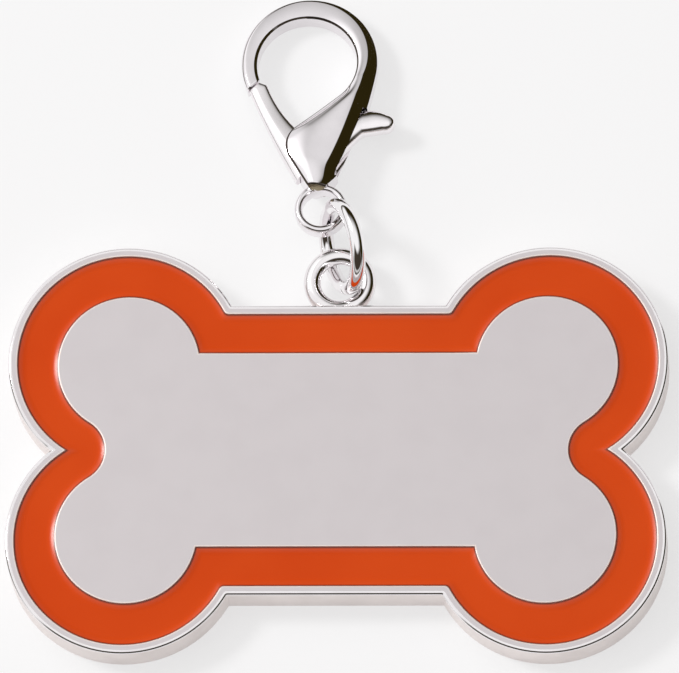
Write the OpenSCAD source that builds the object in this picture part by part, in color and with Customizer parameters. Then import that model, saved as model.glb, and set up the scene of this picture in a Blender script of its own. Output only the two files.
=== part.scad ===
// Bone-shaped pet id tag with an enamel border, carried by a jump ring and a sprung lobster clasp.
// Millimetres. The tag lies on its back: +Z is its face, and +Y points to the loop and the clasp.

/* [Tag plate] */
// Distance of each lobe's centre from the middle, along the bone
lobe_x = 16; // [13:0.5:22]
// Radius of each lobe
lobe_r = 9; // [7:0.1:11]
// How far the two lobes at each end run into each other
lobe_overlap = 4; // [3.2:0.1:5]
// How far the straight shaft's edge lies inside the lobes' edge
shaft_in = 4.6; // [3.8:0.1:5.2]
// Thickness of the cast plate
plate_t = 3.2; // [2.8:0.1:4]
// Bevel along the plate's outer edges
plate_bevel = 0.15; // [0.05:0.05:0.3]
// Width of the rim round the plate's face
rim_w = 0.7; // [0.5:0.1:1]

/* [Enamel channel and name panel] */
// Width of the channel round each lobe
channel_w = 2.9; // [2.4:0.1:3.2]
// Width of the channel along the shaft
shaft_channel_w = 3.05; // [2.5:0.05:3.3]
// Depth of the channel below the rim
channel_depth = 1; // [0.7:0.1:1.6]
// How far the enamel's surface lies below the rim
enamel_drop = 0.25; // [0.1:0.05:0.4]
// How far the panel's lobes lie nearer the middle than the plate's, along the bone
panel_in_x = 0.15; // [0:0.05:0.5]
// The same, across the bone
panel_in_y = 0.3; // [0.1:0.05:0.6]
// Radius of the round notch at each end of the panel
panel_notch_r = 2.52; // [2:0.1:3.5]

/* [Loop on the tag] */
// Radius of the hole in the loop
loop_hole_r = 1.45; // [1.4:0.05:1.9]
// Thickness of the loop's round bar
loop_bar_d = 1.3; // [1:0.05:1.4]
// How far the loop's bar sinks into the plate's edge
loop_sink = 0.6; // [0.4:0.05:0.9]
// Height of the loop's middle above the plate's back
loop_z = 2; // [1.9:0.05:2.2]

/* [Jump ring] */
// Diameter of the ring's wire
ring_wire_d = 1.15; // [0.9:0.05:1.2]
// Radius of the ring, to the middle of its wire
ring_r = 3.16; // [3.1:0.02:3.4]
// Width of the closed joint where the wire's ends meet
ring_joint = 0.05; // [0.02:0.01:0.15]
// Where that joint lies, in degrees round the ring from its far end
ring_joint_at = 200; // [190:1:215]
// Lean of the ring above the surface that the tag lies on, in degrees
ring_lean = 69.5; // [66:0.5:72]
// Turn of the ring towards the left lobe, in degrees
ring_turn = 15.5; // [12:0.5:18]
// How far the ring's middle lies to the right of the loop's middle
ring_dx = 0.22; // [0.1:0.02:0.4]
// How far the ring's middle lies beyond the middle of the loop's far bar
ring_dy = 0.28; // [0.2:0.02:0.44]
// Gap between what lies loose and the surface under the tag
lift = 0.08; // [0.05:0.01:0.15]

/* [Clasp body] */
// Radius of the hook's outer edge
hook_r = 5.18; // [4.3:0.02:6]
// Width of the hook between its outer edge and the opening
hook_w = 1.36; // [1.1:0.02:1.6]
// Place of the hook's outer centre, from the middle of the eye
hook_centre = [-0.82, 12.01];
// How far the opening's centre lies to the left of the hook's
opening_dx = 0.18; // [0:0.02:0.3]
// How far it lies below the hook's
opening_dy = 0.14; // [0:0.02:0.2]
// Where the nose ends on the hook's outer edge, in degrees
nose_out_at = 204; // [200:1:206]
// Where the nose ends on its inner edge, in degrees
nose_in_at = 198; // [196:1:199]
// Where the flatter spine leaves the hook's outer edge, in degrees below the right
spine_at = 11; // [9:1:13]
// Radius of the spine's slight bend
spine_r = 31; // [28:1:34]
// Turn of that bend, in degrees
spine_turn = 15; // [14:0.5:16]
// Radius of the bend from the spine to the tip
heel_r = 5.6; // [5:0.1:6.4]
// Turn of that bend, in degrees
heel_turn = 25; // [20:1:27]
// Where the opening's tighter corner starts, in degrees below the right
throat_at = 20; // [16:1:24]
// Radius of the opening's tighter corner
throat_r = 3.2; // [2.6:0.1:3.4]
// Radius of the cheek's shoulder
shoulder_r = 1.95; // [1.8:0.05:2.1]
// Place of the shoulder's centre, from the middle of the eye
shoulder_centre = [-0.68, 5];
// Slope of the cheek's edge below the shoulder, in degrees from level
cheek_slope = 60; // [56:1:63]
// Length of the cheek's edge below the shoulder
cheek_len = 3; // [2.8:0.05:3.05]
// Half the thickness of the clasp at the nose
nose_half_t = 0.9; // [0.9:0.05:1.1]
// The same, at the top of the hook
hook_half_t = 0.9; // [0.85:0.05:1.1]
// The same, at the cheeks
cheek_half_t = 1.65; // [1.6:0.05:1.8]
// The same, at the tip above the eye
tip_half_t = 1.5; // [1.4:0.05:1.6]

/* [Clasp flanks and edges] */
// Width of the slanted flank along the clasp's outer side, at the nose
nose_flank_w = 0.4; // [0.3:0.05:0.5]
// The same, at the top of the hook
hook_flank_w = 0.5; // [0.4:0.05:0.6]
// The same, along the spine
spine_flank_w = 1; // [0.9:0.05:1.2]
// The same, at the cheeks
cheek_flank_w = 1.15; // [1:0.05:1.3]
// The same, at the tip
tip_flank_w = 0.4; // [0.3:0.05:0.45]
// Half the height of the upright side below the flanks, at the hook
hook_side_half_t = 0.3; // [0.3:0.05:0.4]
// The same, at the cheeks
cheek_side_half_t = 0.8; // [0.7:0.05:0.9]
// Rounding of the opening's edges
inner_edge_r = 0.18; // [0.1:0.02:0.2]
// Width over which the face falls away under the opening
fall_w = 0.8; // [0.5:0.1:1]
// How far it falls there
fall_h = 0.3; // [0.2:0.05:0.35]
// Rounding of the ridge above the flank
ridge_r = 0.1; // [0.05:0.01:0.12]
// Rounding between the flank and the upright side
side_edge_r = 0.2; // [0.1:0.02:0.25]

/* [Clasp eye] */
// Radius of the eye's hole
eye_hole_r = 1.44; // [1.4:0.02:1.6]
// Width of the eye's bar, from its hole to its edge
eye_bar_w = 0.56; // [0.5:0.02:0.6]
// Thickness of the eye
eye_t = 1.4; // [1.2:0.1:1.5]
// Where the eye hangs on the ring, in degrees below the ring's far end
eye_at = 18; // [17:0.5:19]
// Room between the ring's wire and the eye's hole on the side where they nearly touch
eye_play = 0.23; // [0.2:0.01:0.3]
// Direction from the ring's wire to the eye's middle, in degrees
eye_towards = 150; // [142:1:156]
// Turn of the clasp on the ring towards the left, in degrees
clasp_yaw = 1.3; // [0:0.1:3]

/* [Gate and its slot] */
// Place of the pivot, from the middle of the eye
pivot = [-0.1, 3.9];
// Thickness of the slot between the cheeks
slot_t = 1.7; // [1.5:0.05:1.8]
// Room between the gate and each cheek
gate_side_gap = 0.05; // [0.03:0.01:0.1]
// Room between the gate's tip and the nose
gate_tip_gap = 0.08; // [0.05:0.01:0.15]
// Room round the gate's hub, and above the thumb lug, in the slot
gate_round_gap = 0.1; // [0.05:0.01:0.2]
// Half the gate's thickness at its tip
gate_tip_half_t = 0.5; // [0.4:0.05:0.8]
// Radius of the gate's hub
hub_r = 1.2; // [1.1:0.05:1.25]
// How far the gate's outer edge bows out
gate_bow_out = 0.15; // [0:0.05:0.3]
// How far its inner edge bows in
gate_bow_in = 0.65; // [0.5:0.05:0.8]
// Place of the gate's heel, from the pivot
gate_heel = [-1.8, -1.62];
// Width of the gate's corner that stands into the opening
gate_corner_w = 0.5; // [0.3:0.05:0.7]
// Radius of the thumb lug's end
lug_r = 0.74; // [0.65:0.02:0.9]
// Place of the thumb lug's end, from the pivot
lug_end = [5, 3.15];
// Half the width of the lug where it leaves the spine
lug_root_half_w = 0.98; // [0.85:0.01:1]

/* [Pivot pin and spring] */
// Radius of the pivot pin
pin_r = 0.5; // [0.4:0.02:0.54]
// Running room between the pin and the gate's bore
pin_room = 0.04; // [0.02:0.01:0.08]
// How far the pin's blind end stays below the front cheek's face
pin_cover = 0.4; // [0.3:0.05:0.5]
// Diameter of the spring's wire
spring_wire_d = 0.2; // [0.15:0.01:0.22]
// Radius of the spring's coil, to the middle of its wire
spring_r = 0.78; // [0.76:0.01:0.8]
// Rise of the spring in one turn
spring_pitch = 0.24; // [0.22:0.01:0.26]
// Whole turns of the spring
spring_turns = 3; // [2:1:3]
// Where the spring's leg leaves its coil for the gate, in degrees round the pin
spring_gate_at = 28; // [20:1:32]
// Where its other leg leaves for the slot's floor
spring_body_at = 10; // [0:1:16]
// Length of the spring's leg that lies on the gate
spring_leg_gate = 1.9; // [1.5:0.1:2.2]
// Length of the spring's leg that lies on the slot's floor
spring_leg_body = 1.2; // [1:0.05:1.25]

/* [Hidden] */
$fn = 96;

// Points round a lofted section, and steps along each stretch of a lofted edge
hook_n = 44;
throat_n = 5;
edge_n = 8;
heel_n = 5;
gate_rib_n = 12;
gate_n = 14;
lug_n = 8;
// How square a side of the gate's section is: 2 is an oval, more is squarer
round_side = 2.5;
square_side = 4;
// How far a cut runs past the face that it opens
overrun = plate_bevel;

// Tag: the plate's and the panel's outlines, and the loop's place
lobe_y = lobe_r - lobe_overlap / 2;
shaft_half_w = lobe_y + lobe_r - shaft_in;
panel_x = lobe_x - panel_in_x;
panel_y = lobe_y - panel_in_y;
panel_r = lobe_r - rim_w - channel_w;
panel_half_w = shaft_half_w - rim_w - shaft_channel_w;
notch_x = panel_x + sqrt(pow(panel_r + panel_notch_r, 2) - pow(panel_y, 2));
loop_r = loop_hole_r + loop_bar_d / 2;
loop_y = shaft_half_w + loop_hole_r + loop_bar_d - loop_sink;

// Jump ring: its middle, and its two directions in the plane of the ring
ring_wire_r = ring_wire_d / 2;
ring_centre = [
    ring_dx,
    loop_y + loop_r + ring_dy,
    lift + ring_wire_r + ring_r * sin(ring_lean),
];
ring_along = [-sin(ring_turn), cos(ring_turn), 0];
ring_up = [cos(ring_lean) * cos(ring_turn), cos(ring_lean) * sin(ring_turn), sin(ring_lean)];

// Clasp body: each arc of the outer edge runs on from the last, and the straight run of the inner
// edge touches the throat's arc and the shoulder's
opening_r = hook_r - hook_w;
opening_centre = hook_centre - [opening_dx, opening_dy];
spine_end_at = spine_at + spine_turn;
spine_centre = hook_centre + (hook_r - spine_r) * [cos(spine_at), -sin(spine_at)];
spine_end = spine_centre + spine_r * [cos(spine_end_at), -sin(spine_end_at)];
heel_centre = spine_end - heel_r * [cos(spine_end_at), -sin(spine_end_at)];
throat_centre = opening_centre + (opening_r - throat_r) * [cos(throat_at), -sin(throat_at)];
throat_to_shoulder = shoulder_centre - throat_centre;
diagonal_at = atan2(throat_to_shoulder.y, throat_to_shoulder.x)
    - asin((throat_r + shoulder_r) / norm(throat_to_shoulder));
shoulder_end = shoulder_centre - shoulder_r * [sin(cheek_slope), cos(cheek_slope)];
cheek_end = shoulder_end + cheek_len * [cos(cheek_slope), -sin(cheek_slope)];
nose_out = hook_centre + hook_r * [cos(nose_out_at), sin(nose_out_at)];
nose_in = opening_centre + opening_r * [cos(nose_in_at), sin(nose_in_at)];

// Clasp: the eye hangs on the ring, and the hook's far end lies on the surface
eye_on_ring = ring_centre + ring_r * (cos(eye_at) * ring_along - sin(eye_at) * ring_up);
eye_shift = eye_hole_r - ring_wire_r - eye_play;
eye_centre = eye_on_ring + eye_shift * [cos(eye_towards), sin(eye_towards), 0];
hook_reach = hook_centre.y + (hook_r + opening_r) / 2;
clasp_tilt = asin((eye_centre.z - lift - hook_half_t) / hook_reach);

// Gate: half its thickness, its tip along the nose's face, and the ends of the slot
gate_half_t = slot_t / 2 - gate_side_gap;
nose_face = (nose_in - nose_out) / norm(nose_in - nose_out);
nose_normal = [nose_face.y, -nose_face.x];
tip_out = nose_out + gate_tip_gap * (nose_normal + nose_face);
tip_in = nose_in + gate_tip_gap * nose_normal;
tip_corner = tip_in + gate_corner_w * nose_normal + gate_corner_w / 2 * nose_face;
gate_crotch = pivot + hub_r * [cos(60), sin(60)];
lug_centre = pivot + lug_end;
lug_root_x = spine_centre.x + sqrt(pow(spine_r, 2) - pow(lug_centre.y - spine_centre.y, 2));
slot_floor = pivot.y - hub_r - gate_round_gap;
slot_top = lug_centre.y + lug_root_half_w + gate_round_gap;

// Spring: it lies in a pocket in the gate's back
spring_turn = 360 * spring_turns + spring_gate_at - spring_body_at;
spring_low = -slot_t / 2 + 0.75 * spring_wire_d;
pocket_r = spring_r + spring_wire_d;
pocket_floor = spring_low + spring_pitch * spring_turn / 360 + 0.75 * spring_wire_d;

// Points on an arc, on a straight run after its start, and on a bowed run
function arc(c, r, a0, a1, n) = [for (i = [0:n]) let (a = a0 + (a1 - a0) * i / n) c + r * [cos(a), sin(a)]];
function run(a, b, n) = [for (i = [1:n]) a + (b - a) * i / n];
function bow(a, b, sag, n) = [
    for (i = [0:n])
        let (t = i / n, d = (b - a) / norm(b - a))
        a + (b - a) * t + 4 * sag * t * (1 - t) * [d.y, -d.x]
];
function ease(a, b, n) = [for (i = [1:n]) a + (b - a) * (1 - cos(180 * i / n)) / 2];
function tail(list) = [for (i = [1:len(list) - 1]) list[i]];

// A rounded corner at c, from a to b
function corner(a, c, b) = [a, (a + 2 * c + b) / 4, b];

// One closed section across the clasp's body: a face that falls away by edge, which is a width and a
// height, then a slanted flank and an upright side, front and back
function body_rib(inner, outer, half_t, edge, flank_w, side_half_t) =
    let (
        w = norm(outer - inner),
        across = (outer - inner) / w,
        ridge = [w - flank_w, half_t],
        side = [w, side_half_t],
        down = (side - ridge) / norm(side - ridge),
        front = concat(
            corner([0, half_t - edge.y], [0, half_t], [edge.x, half_t]),
            corner(ridge - [ridge_r, 0], ridge, ridge + ridge_r * down),
            corner(side - side_edge_r * down, side, side - [0, side_edge_r])
        ),
        n = len(front),
        profile = concat(front, [for (i = [n - 1:-1:0]) [front[i].x, -front[i].y]])
    )
    [for (p = profile) [inner.x + p.x * across.x, inner.y + p.x * across.y, p.y]];

// One closed section across a piece, from its right edge's point to its left edge's
function rib(right, left, half_t, right_side, left_side, n) =
    let (middle = (right + left) / 2, reach = (right - left) / 2)
    [for (k = [0:n - 1])
        let (
            a = 360 * (k + 1 / 2) / n,
            side = cos(a) > 0 ? right_side : left_side,
            q = middle + reach * sign(cos(a)) * pow(abs(cos(a)), 2 / side)
        )
        [q.x, q.y, half_t * sign(sin(a)) * pow(abs(sin(a)), 2 / side)]];

// A skin over sections of n points each, closed at both ends
module skin(sections) {
    n = len(sections[0]);
    last = len(sections) - 1;
    polyhedron(
        points = [for (s = sections) each s],
        faces = [
            for (i = [0:last - 1], k = [0:n - 1])
                let (a = i * n + k, b = i * n + (k + 1) % n)
                each [[a, b, b + n], [a, b + n, a + n]],
            for (k = [1:n - 2]) [0, k + 1, k],
            for (k = [1:n - 2]) [last * n, last * n + k, last * n + k + 1],
        ]
    );
}
// Right and left are the two edges as met on the way along the piece
module loft(right, left, half_t, right_side, left_side, n) {
    skin([for (i = [0:len(right) - 1]) rib(right[i], left[i], half_t[i], right_side, left_side, n)]);
}

// A round wire along a path, one section of n points at each of its points
module wire(path, r, n) {
    last = len(path) - 1;
    skin([
        for (i = [0:last])
            let (
                d = path[min(i + 1, last)] - path[max(i - 1, 0)],
                ahead = d / norm(d),
                side = cross([0, 0, 1], ahead) / norm(cross([0, 0, 1], ahead)),
                up = cross(ahead, side)
            )
            [for (k = [0:n - 1]) path[i] + r * (cos(360 * k / n) * side - sin(360 * k / n) * up)]
    ]);
}

// Places that follow the photographed pose
module in_ring() {
    translate(ring_centre) rotate([180 - ring_lean, 0, 90 + ring_turn]) children();
}
module in_clasp() {
    translate(eye_centre) rotate([-clasp_tilt, 0, clasp_yaw]) children();
}
module at_pivot(z) {
    translate([pivot.x, pivot.y, z]) children();
}

// Tag
module bone(r, half_w) {
    for (x = [-lobe_x, lobe_x], y = [-lobe_y, lobe_y]) translate([x, y]) circle(r);
    square([2 * lobe_x, 2 * half_w], center = true);
}
module panel() {
    difference() {
        union() {
            for (x = [-panel_x, panel_x], y = [-panel_y, panel_y]) translate([x, y]) circle(panel_r);
            square([2 * panel_x, 2 * panel_half_w], center = true);
            for (s = [-1, 1])
                polygon([[s * panel_x, panel_y], [s * notch_x, 0], [s * panel_x, -panel_y]]);
        }
        for (x = [-notch_x, notch_x]) translate([x, 0]) circle(panel_notch_r);
    }
}
module channel() {
    difference() {
        bone(lobe_r - rim_w, shaft_half_w - rim_w);
        panel();
    }
}
// Half of the plate's edge, seen along the edge: from the middle out to reach
module edge_profile(reach) {
    b = plate_bevel;
    polygon([
        [0, 0], [reach - b, 0], [reach, b],
        [reach, plate_t - b], [reach - b, plate_t], [0, plate_t],
    ]);
}
module plate() {
    for (x = [-lobe_x, lobe_x], y = [-lobe_y, lobe_y])
        translate([x, y, 0]) rotate_extrude() edge_profile(lobe_r);
    for (s = [0, 180])
        rotate([90, 0, 90 + s]) linear_extrude(2 * lobe_x, center = true) edge_profile(shaft_half_w);
}
module loop() {
    translate([0, loop_y, loop_z]) rotate_extrude() translate([loop_r, 0]) circle(loop_bar_d / 2);
}
module tag_body() {
    color("gainsboro") {
        difference() {
            plate();
            translate([0, 0, plate_t - channel_depth]) linear_extrude(channel_depth + overrun) channel();
        }
        loop();
    }
}
module enamel_fill() {
    color("orangered")
        translate([0, 0, plate_t - channel_depth])
            linear_extrude(channel_depth - enamel_drop) channel();
}

// Jump ring: round wire, closed until its ends meet
module jump_ring() {
    joint_turn = 2 * asin(ring_joint / 2 / ring_r);
    color("silver")
        in_ring()
            rotate([0, 0, ring_joint_at])
                rotate_extrude(angle = 360 - joint_turn) translate([ring_r, 0]) circle(ring_wire_r);
}

// Clasp body: one loft from the nose round the hook, down the spine and cheeks to the tip
body_outer = concat(
    arc(hook_centre, hook_r, nose_out_at, -spine_at, hook_n),
    tail(arc(spine_centre, spine_r, -spine_at, -spine_end_at, throat_n + 2 * edge_n)),
    tail(arc(heel_centre, heel_r, -spine_end_at, -spine_end_at - heel_turn, heel_n))
);
body_inner = concat(
    arc(opening_centre, opening_r, nose_in_at, -throat_at, hook_n),
    tail(arc(throat_centre, throat_r, -throat_at, diagonal_at + 90, throat_n)),
    run(
        throat_centre + throat_r * [-sin(diagonal_at), cos(diagonal_at)],
        shoulder_centre + shoulder_r * [sin(diagonal_at), -cos(diagonal_at)],
        edge_n
    ),
    tail(arc(shoulder_centre, shoulder_r, diagonal_at + 270, 270 - cheek_slope, edge_n)),
    run(shoulder_end, cheek_end, heel_n)
);
body_half_t = concat(
    [nose_half_t],
    ease(nose_half_t, hook_half_t, hook_n / 2),
    ease(hook_half_t, cheek_half_t, hook_n / 2 + throat_n + edge_n),
    [for (i = [1:edge_n]) cheek_half_t],
    ease(cheek_half_t, tip_half_t, heel_n)
);
body_edge = [
    for (i = [0:len(body_half_t) - 1])
        let (
            at = (i - hook_n) / (throat_n + 3 / 2 * edge_n),
            share = at > 0 && at < 1 ? sin(180 * at) : 0
        )
        [inner_edge_r, inner_edge_r] + share * [fall_w - inner_edge_r, fall_h - inner_edge_r]
];
body_flank_w = concat(
    [nose_flank_w],
    ease(nose_flank_w, hook_flank_w, hook_n / 2),
    ease(hook_flank_w, spine_flank_w, hook_n / 2),
    ease(spine_flank_w, cheek_flank_w, throat_n + edge_n),
    [for (i = [1:edge_n]) cheek_flank_w],
    ease(cheek_flank_w, tip_flank_w, heel_n)
);
body_side_half_t = concat(
    [for (i = [0:hook_n / 2]) hook_side_half_t],
    ease(hook_side_half_t, cheek_side_half_t, hook_n / 2 + throat_n),
    [for (i = [1:2 * edge_n + heel_n]) cheek_side_half_t]
);
module eye() {
    round_r = eye_bar_w / 2;
    rotate_extrude()
        translate([eye_hole_r + round_r, 0]) {
            square([eye_bar_w, eye_t - eye_bar_w], center = true);
            for (s = [-1, 1]) translate([0, s * (eye_t / 2 - round_r)]) circle(round_r);
        }
}
module clasp_body() {
    bore_end = cheek_half_t - pin_cover;
    color("silver")
        in_clasp() {
            difference() {
                skin([
                    for (i = [0:len(body_inner) - 1])
                        body_rib(
                            body_inner[i], body_outer[i], body_half_t[i],
                            body_edge[i], body_flank_w[i], body_side_half_t[i]
                        )
                ]);
                translate([-2 * hook_r, slot_floor, -slot_t / 2])
                    cube([4 * hook_r, slot_top - slot_floor, slot_t]);
                at_pivot(-2 * cheek_half_t) cylinder(r = pin_r, h = 2 * cheek_half_t + bore_end);
            }
            eye();
        }
}

// Gate: a lever from the nose to the hub, with a thumb lug that leaves through the spine
module gate_arm() {
    outer = concat([tip_out], bow(tip_out + gate_tip_gap * nose_normal, pivot + gate_heel, gate_bow_out, gate_n));
    inner = concat([tip_in], bow(tip_corner, gate_crotch, gate_bow_in, gate_n));
    half_t = concat([gate_tip_half_t, gate_tip_half_t], ease(gate_tip_half_t, gate_half_t, gate_n));
    loft(outer, inner, half_t, round_side, square_side, gate_rib_n);
}
module gate_lug() {
    root = [lug_root_x, lug_centre.y];
    upper = concat(
        bow(pivot + hub_r * [cos(150), sin(150)], root + [0, lug_root_half_w], -lug_r / 2, lug_n),
        tail(arc(lug_centre, lug_r, 100, 15, lug_n))
    );
    lower = concat(
        bow(pivot + hub_r * [cos(-40), sin(-40)], root - [0, lug_root_half_w], -lug_r / 4, lug_n),
        tail(arc(lug_centre, lug_r, -100, -15, lug_n))
    );
    half_t = concat(
        [for (i = [0:lug_n]) gate_half_t],
        [for (i = [1:lug_n]) gate_half_t * sqrt(1 - pow(0.8 * i / lug_n, 2))]
    );
    loft(lower, upper, half_t, round_side, round_side, gate_rib_n);
}
module clasp_gate() {
    leg_room = 1.5 * spring_wire_d;
    color("lightgray")
        in_clasp()
            difference() {
                union() {
                    gate_arm();
                    gate_lug();
                    at_pivot(-gate_half_t) cylinder(r = hub_r, h = 2 * gate_half_t);
                }
                at_pivot(-slot_t) cylinder(r = pin_r + pin_room, h = 2 * slot_t);
                at_pivot(-slot_t) cylinder(r = pocket_r, h = slot_t + pocket_floor);
                // Ways out of the pocket for the spring's two legs: a groove, and room to turn past the other
                at_pivot(-slot_t)
                    rotate([0, 0, spring_gate_at + 90])
                        translate([0, -spring_r - leg_room, 0])
                            cube([spring_leg_gate + leg_room, 2 * leg_room, slot_t + pocket_floor]);
                at_pivot(-slot_t)
                    rotate([0, 0, spring_body_at - 90])
                        translate([-leg_room, spring_r - leg_room, 0])
                            cube([2 * hub_r, 2 * hub_r, slot_t + pocket_floor]);
            }
}
module pivot_pin() {
    length = 2 * cheek_half_t - pin_cover - overrun;
    color("darkgray") in_clasp() at_pivot(cheek_half_t - pin_cover - length) cylinder(r = pin_r, h = length);
}

// Spring: a torsion coil round the pin, one leg on the gate and one on the slot's floor
module gate_spring() {
    steps = ceil(spring_turn / 22);
    coil = [
        for (i = [0:steps])
            let (a = spring_body_at + spring_turn * i / steps)
            [spring_r * cos(a), spring_r * sin(a), spring_low + spring_pitch * spring_turn / 360 * i / steps]
    ];
    leg_down = coil[0] - spring_leg_body * [-sin(spring_body_at), cos(spring_body_at), 0];
    leg_up = coil[steps] + spring_leg_gate * [-sin(spring_gate_at), cos(spring_gate_at), 0];
    color("dimgray") in_clasp() at_pivot(0) wire(concat([leg_down], coil, [leg_up]), spring_wire_d / 2, 6);
}

tag_body();
enamel_fill();
jump_ring();
clasp_body();
clasp_gate();
pivot_pin();
gate_spring();
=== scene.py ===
import math

import bmesh
import bpy
import numpy as np
from mathutils import Matrix, Vector


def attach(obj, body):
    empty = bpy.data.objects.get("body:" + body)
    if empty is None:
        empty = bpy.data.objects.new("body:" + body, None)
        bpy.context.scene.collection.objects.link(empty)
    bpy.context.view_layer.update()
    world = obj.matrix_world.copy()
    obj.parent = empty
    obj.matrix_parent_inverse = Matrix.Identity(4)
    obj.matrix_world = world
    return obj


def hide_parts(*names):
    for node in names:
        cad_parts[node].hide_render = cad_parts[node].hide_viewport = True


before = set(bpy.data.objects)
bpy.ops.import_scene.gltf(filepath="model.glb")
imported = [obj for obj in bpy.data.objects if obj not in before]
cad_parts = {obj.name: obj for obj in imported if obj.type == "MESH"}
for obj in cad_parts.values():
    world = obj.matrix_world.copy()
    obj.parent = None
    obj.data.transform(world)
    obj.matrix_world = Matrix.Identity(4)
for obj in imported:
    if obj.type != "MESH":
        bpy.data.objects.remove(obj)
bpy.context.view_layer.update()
MM = 0.001

# Sizes in millimetres and angles in degrees, as in the CAD source

# The plate, the bare panel on it and the channel between them
LOBE_X, LOBE_Y, LOBE_R = 16.0, 7.0, 9.0
SHAFT_W = 11.4
PLATE_T = 3.2
RIM_W = 0.7
PANEL_X, PANEL_Y, PANEL_R = 15.85, 6.7, 5.4
PANEL_W = 7.65
NOTCH_R = 2.52
CHANNEL_Z = 2.2
ENAMEL_Z = 2.95

# The loop and the jump ring
LOOP_Y, LOOP_Z, LOOP_R, LOOP_WIRE = 13.55, 2.0, 2.1, 0.65
RING_C = np.array([0.22, 15.93, 3.61488])
RING_R, RING_WIRE = 3.16, 0.575
RING_LEAN, RING_TURN = 69.5, 15.5
RING_JOINT, RING_JOINT_AT = 0.05, 200.0

# The clasp in its own frame: the eye's middle is the origin and the clasp runs along +Y
EYE_C = np.array([-1.46261, 19.0521, 2.70023])
TILT, YAW = 5.98068, 1.3
EYE_HOLE, EYE_BAR, EYE_T = 1.44, 0.56, 1.4
HOOK_C, HOOK_R = np.array([-0.82, 12.01]), 5.18
OPEN_C, OPEN_R = np.array([-1.0, 11.87]), 3.82
NOSE_OUT, NOSE_IN = 204.0, 198.0
SPINE_AT, SPINE_R, SPINE_TURN = 11.0, 31.0, 15.0
HEEL_R, HEEL_TURN = 5.6, 25.0
THROAT_AT, THROAT_R = 20.0, 3.2
SHOULDER_R, SHOULDER_C = 1.95, np.array([-0.68, 5.0])
CHEEK_SLOPE, CHEEK_LEN = 60.0, 3.0
NOSE_T, HOOK_T, CHEEK_T, TIP_T = 0.9, 0.9, 1.65, 1.5
PIVOT = np.array([-0.1, 3.9])
SLOT_T, SLOT_LOW, SLOT_TOP = 1.7, 2.6, 8.13
GATE_T, GATE_TIP_T = 0.8, 0.5
TIP_GAP = 0.08
HUB_R = 1.2
PIN_R, PIN_ROOM, PIN_COVER = 0.5, 0.04, 0.4
LUG_R, LUG_C, LUG_W = 0.74, np.array([4.9, 7.05]), 0.98
GATE_HEEL = np.array([-1.8, -1.62])
GATE_CORNER = 0.5

# Details that only the scene has

# The lobes stop this far from the middle line, so that the two halves share no point
MIDDLE_GAP = 0.02
# The round at the back, the polished edge's reach and its cut, and the inner bevel with its lip
BACK_ROUND = 0.12
EDGE_REACH, EDGE_IN, EDGE_DROP = 0.26, 0.11, 0.1
BEVEL, LIP = 0.1, 0.03

# The enamel at a wall: its climb, where the even slope ends, its reach and how far its painted
# shade reaches
CLIMB, EVEN, REACH, SHADE_REACH = 0.14, 0.22, 0.72, 0.15
CLIMB_PLACES = (0, 0.04, 0.09, SHADE_REACH, 0.22, 0.29, 0.36, 0.44, 0.53, 0.62, REACH)

# The ring's cut ends: degrees from the cut and how far the wire is rounded down there
CUT_END = [(0, 0.05), (0.2, 0.015), (0.5, 0)]

# The clasp's flank is narrowest over the hook's top, and its slope is lowest there
NARROW_FLANK, HOOK_FLANK = 0.13, 1.0
FLANK_SLOPE, SLOPE_EASE = 37.0, 13
THIN_SIDE = 0.3
# Beside the throat the face falls away by up to FALL over FALL_W
FALL, FALL_W = 0.26, 1.0
# Over the last stretch before the eye the clasp rounds down and in
TIP_ROUND, TIP_LOW, TIP_NARROW = 0.5, 0.8, 0.6
# The painted shade line's share of the bevel; where painted shade and its darker end start from the
# tip
PAINTED_LINE_SHARE = 0.92
TIP_DARK, TIP_PAINTED_END = 0.45, 0.3
# How far the nose's end is drawn in
NOSE_ROUND = 0.07
# A corner's radius is at most this share of the stretches beside it, and at least this
CORNER_SHARE, CORNER_LEAST = 0.38, 0.002
# How far the gate's two edges bow, and the lug's upper edge
GATE_BOW_OUT, GATE_BOW_IN, LUG_BOW = 0.15, 0.65, 0.2

# How finely things are divided
HOOK_N, THROAT_N, EDGE_N, HEEL_N = 150, 24, 36, 36
FACE_N = 17
GATE_N, LUG_N = 60, 28

# Material numbers on the tag and on the clasp
FACE, SIDE, INNER_EDGE, POLISHED = range(4)
# On the clasp: the plating, a painted shade line, and darker painted shade at the tip
PLATING, PAINTED_LINE, PAINTED_END = range(3)

# Edges that bend by less than this are shaded smooth, and points this near in metres are joined
SMOOTH, CLASP_SMOOTH, ENAMEL_SMOOTH = 40, 32, 60
SAME_POINT = 1e-7


# Plane geometry
def unit(v):
    return np.asarray(v, float) / np.linalg.norm(v)


def polar(centre, radius, degrees):
    a = math.radians(degrees)
    return np.asarray(centre, float) + radius * np.array([math.cos(a), math.sin(a)])


def arc(centre, radius, a0, a1, n):
    return [polar(centre, radius, a0 + (a1 - a0) * i / n) for i in range(n + 1)]


def run(a, b, n):
    """The n points that lead straight from a to b, without a."""
    return [np.asarray(a) + (np.asarray(b) - a) * i / n for i in range(1, n + 1)]


def bow(a, b, sag, n):
    """A shallow curve from a to b that bulges by sag, to the right where sag is positive."""
    a, b = np.asarray(a, float), np.asarray(b, float)
    d = unit(b - a)
    side = np.array([d[1], -d[0]])
    return [a + (b - a) * t + 4 * sag * t * (1 - t) * side for t in np.linspace(0, 1, n + 1)]


def curve(a, corner, b, places):
    """Points of the soft curve from a to b that a corner pulls at."""
    return [(1 - t) ** 2 * a + 2 * t * (1 - t) * corner + t * t * b for t in places]


def ease(a, b, n):
    """The n values that lead softly from a to b, without a."""
    return [a + (b - a) * (1 - math.cos(math.pi * i / n)) / 2 for i in range(1, n + 1)]


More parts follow.
